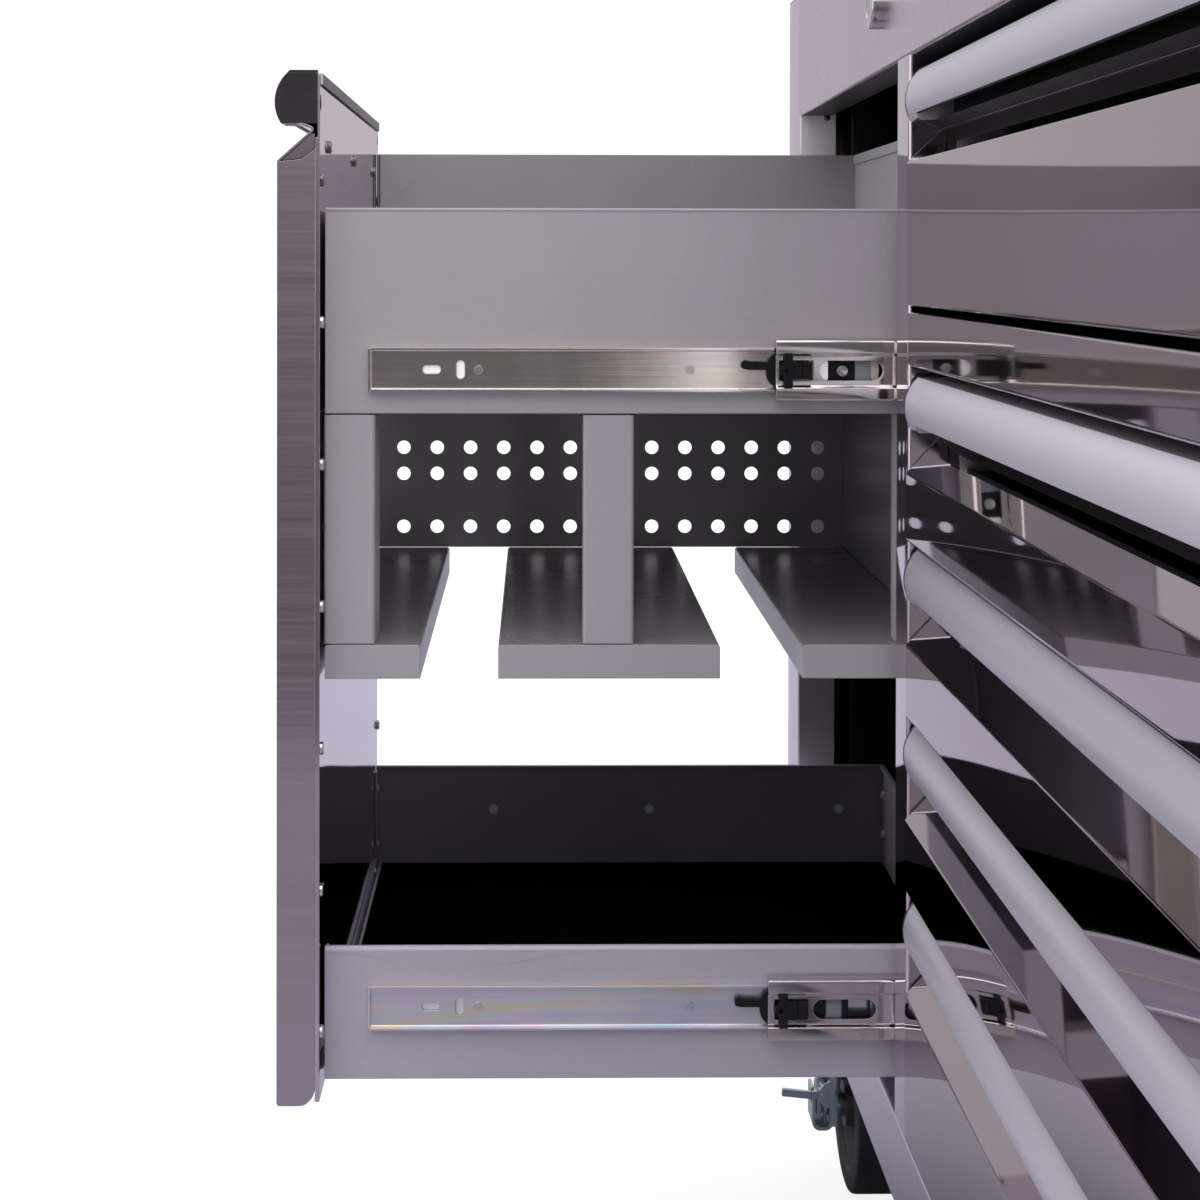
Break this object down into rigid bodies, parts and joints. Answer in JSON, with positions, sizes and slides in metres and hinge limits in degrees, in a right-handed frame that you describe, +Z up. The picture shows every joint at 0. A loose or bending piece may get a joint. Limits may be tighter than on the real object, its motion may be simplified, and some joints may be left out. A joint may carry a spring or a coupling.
{
  "type": "tool chest",
  "caption": "Rolling stainless tool chest with a tall pull-out drawer for power tools beside wide shallow drawers, on casters.",
  "frame": {"origin": "centre of the bounding box on the floor, with the tall drawer pulled out as stored", "axes": "+X to the right and +Y to the back as seen by the user, +Z up out of the worktop"},
  "size_m": [1.322, 0.8067, 0.914],
  "materials": {
    "stainless_skin": "brushed, vertical grain",
    "stainless_side": "brushed, horizontal grain",
    "painted_inner": "fine-grained grey",
    "tray_sheet": "satin light grey",
    "shelf_sheet": "semi-gloss grey",
    "dark_inner": "satin dark",
    "slide_zinc": "bright zinc",
    "handle_alu": "satin anodised",
    "cap_black": "satin black",
    "mat_black": "matt, fine texture",
    "stop_black": "satin black",
    "lock_chrome": "polished",
    "screw_zinc": "zinc plated",
    "caster_zinc": "zinc plated",
    "wheel_black": "matt black tyre on a dark hub"
  },
  "bodies": {
    "case": {"side_left": "stainless_skin", "side_right": "stainless_skin", "back_panel": "painted_inner", "bottom_pan": "stainless_skin", "top_cover": "stainless_skin", "divider_post": "stainless_skin", "cross_rail": "stainless_skin", "inner_walls": "dark_inner", "cabinet_runners": "slide_zinc", "lock_housing": "lock_chrome", "front_caster_plates": "caster_zinc", "rear_caster_forks": "caster_zinc"},
    "lock": {"lock_plug": "lock_chrome"},
    "tall_drawer": {"tall_front_pan": "stainless_skin", "tall_back_plate": "stainless_skin", "tall_handle": "handle_alu", "tall_handle_caps": "cap_black", "tall_upper_tray": "tray_sheet", "tall_peg_panel": "shelf_sheet", "tall_posts": "tray_sheet", "tall_shelves": "shelf_sheet", "tall_rear_wall": "tray_sheet", "tall_lower_tray": "tray_sheet", "tall_liner": "mat_black", "tall_runners": "slide_zinc", "tall_screws": "screw_zinc"},
    "tall_mid": {"tall_mid_runners": "slide_zinc", "tall_mid_stops": "stop_black"},
    "lever_ur": {"tall_lever_ur": "stop_black"},
    "lever_ul": {"tall_lever_ul": "stop_black"},
    "lever_lr": {"tall_lever_lr": "stop_black"},
    "lever_ll": {"tall_lever_ll": "stop_black"},
    "drawer1": {"d1_front": "stainless_skin", "d1_handle": "handle_alu", "d1_box": "tray_sheet"},
    "mid1": {"d1_mid": "slide_zinc"},
    "drawer2": {"d2_front": "stainless_skin", "d2_handle": "handle_alu", "d2_box": "tray_sheet"},
    "mid2": {"d2_mid": "slide_zinc"},
    "drawer3": {"d3_front": "stainless_skin", "d3_handle": "handle_alu", "d3_box": "tray_sheet"},
    "mid3": {"d3_mid": "slide_zinc"},
    "drawer4": {"d4_front": "stainless_skin", "d4_handle": "handle_alu", "d4_box": "tray_sheet"},
    "mid4": {"d4_mid": "slide_zinc"},
    "drawer5": {"d5_front": "stainless_skin", "d5_handle": "handle_alu", "d5_box": "tray_sheet"},
    "mid5": {"d5_mid": "slide_zinc"},
    "fork_fl": {"cfl_fork": "caster_zinc"},
    "wheel_fl": {"cfl_wheel": "wheel_black"},
    "brake_fl": {"cfl_brake": "caster_zinc"},
    "fork_fr": {"cfr_fork": "caster_zinc"},
    "wheel_fr": {"cfr_wheel": "wheel_black"},
    "brake_fr": {"cfr_brake": "caster_zinc"},
    "wheel_rl": {"crl_wheel": "wheel_black"},
    "wheel_rr": {"crr_wheel": "wheel_black"}
  },
  "joints": [
    {"name": "tall_slide", "type": "slide", "parent": "case", "child": "tall_drawer", "axis": [0, -1, 0], "range_m": [-0.347, 0]},
    {"name": "tall_mid_slide", "type": "slide", "parent": "case", "child": "tall_mid", "axis": [0, -1, 0], "range_m": [-0.118, 0]},
    {"name": "lever_ur_tilt", "type": "hinge", "parent": "tall_drawer", "child": "lever_ur", "pos_m": [-0.2046, -0.11525, 0.6484], "axis": [1, 0, 0], "range_deg": [-5, 5], "stiffness_Nm_per_rad": 0.02},
    {"name": "lever_ul_tilt", "type": "hinge", "parent": "tall_drawer", "child": "lever_ul", "pos_m": [-0.5914, -0.11525, 0.6484], "axis": [1, 0, 0], "range_deg": [-5, 5], "stiffness_Nm_per_rad": 0.02},
    {"name": "lever_lr_tilt", "type": "hinge", "parent": "tall_drawer", "child": "lever_lr", "pos_m": [-0.2046, -0.11825, 0.2865], "axis": [1, 0, 0], "range_deg": [-5, 5], "stiffness_Nm_per_rad": 0.02},
    {"name": "lever_ll_tilt", "type": "hinge", "parent": "tall_drawer", "child": "lever_ll", "pos_m": [-0.5914, -0.11825, 0.2865], "axis": [1, 0, 0], "range_deg": [-5, 5], "stiffness_Nm_per_rad": 0.02},
    {"name": "drawer1_slide", "type": "slide", "parent": "case", "child": "drawer1", "axis": [0, -1, 0], "range_m": [0, 0.347]},
    {"name": "mid1_slide", "type": "slide", "parent": "case", "child": "mid1", "axis": [0, -1, 0], "range_m": [0, 0.118]},
    {"name": "drawer2_slide", "type": "slide", "parent": "case", "child": "drawer2", "axis": [0, -1, 0], "range_m": [0, 0.347]},
    {"name": "mid2_slide", "type": "slide", "parent": "case", "child": "mid2", "axis": [0, -1, 0], "range_m": [0, 0.118]},
    {"name": "drawer3_slide", "type": "slide", "parent": "case", "child": "drawer3", "axis": [0, -1, 0], "range_m": [0, 0.347]},
    {"name": "mid3_slide", "type": "slide", "parent": "case", "child": "mid3", "axis": [0, -1, 0], "range_m": [0, 0.118]},
    {"name": "drawer4_slide", "type": "slide", "parent": "case", "child": "drawer4", "axis": [0, -1, 0], "range_m": [0, 0.347]},
    {"name": "mid4_slide", "type": "slide", "parent": "case", "child": "mid4", "axis": [0, -1, 0], "range_m": [0, 0.118]},
    {"name": "drawer5_slide", "type": "slide", "parent": "case", "child": "drawer5", "axis": [0, -1, 0], "range_m": [0, 0.347]},
    {"name": "mid5_slide", "type": "slide", "parent": "case", "child": "mid5", "axis": [0, -1, 0], "range_m": [0, 0.118]},
    {"name": "caster_fl_swivel", "type": "hinge", "parent": "case", "child": "fork_fl", "pos_m": [-0.55, 0.00225, 0.166], "axis": [0, 0, 1], "continuous": true},
    {"name": "wheel_fl_roll", "type": "hinge", "parent": "fork_fl", "child": "wheel_fl", "pos_m": [-0.586, 0.00225, 0.0635], "axis": [0, 1, 0], "continuous": true},
    {"name": "brake_fl_press", "type": "hinge", "parent": "fork_fl", "child": "brake_fl", "pos_m": [-0.586, -0.03675, 0.074], "axis": [1, 0, 0], "range_deg": [0, 14]},
    {"name": "caster_fr_swivel", "type": "hinge", "parent": "case", "child": "fork_fr", "pos_m": [0.55, 0.00225, 0.166], "axis": [0, 0, 1], "continuous": true},
    {"name": "wheel_fr_roll", "type": "hinge", "parent": "fork_fr", "child": "wheel_fr", "pos_m": [0.514, 0.00225, 0.0635], "axis": [0, 1, 0], "continuous": true},
    {"name": "brake_fr_press", "type": "hinge", "parent": "fork_fr", "child": "brake_fr", "pos_m": [0.514, -0.03675, 0.074], "axis": [1, 0, 0], "range_deg": [0, 14]},
    {"name": "wheel_rl_roll", "type": "hinge", "parent": "case", "child": "wheel_rl", "pos_m": [-0.55, 0.34725, 0.0635], "axis": [0, 1, 0], "continuous": true},
    {"name": "wheel_rr_roll", "type": "hinge", "parent": "case", "child": "wheel_rr", "pos_m": [0.55, 0.34725, 0.0635], "axis": [0, 1, 0], "continuous": true},
    {"name": "lock_turn", "type": "hinge", "parent": "case", "child": "lock", "pos_m": [-0.25, -0.05375, 0.857], "axis": [0, 1, 0], "range_deg": [0, 90]}
  ],
  "couplings": [
    {"joint": "tall_mid_slide", "follows": "tall_slide", "ratio": 0.34},
    {"joint": "mid1_slide", "follows": "drawer1_slide", "ratio": 0.34},
    {"joint": "mid2_slide", "follows": "drawer2_slide", "ratio": 0.34},
    {"joint": "mid3_slide", "follows": "drawer3_slide", "ratio": 0.34},
    {"joint": "mid4_slide", "follows": "drawer4_slide", "ratio": 0.34},
    {"joint": "mid5_slide", "follows": "drawer5_slide", "ratio": 0.34}
  ]
}
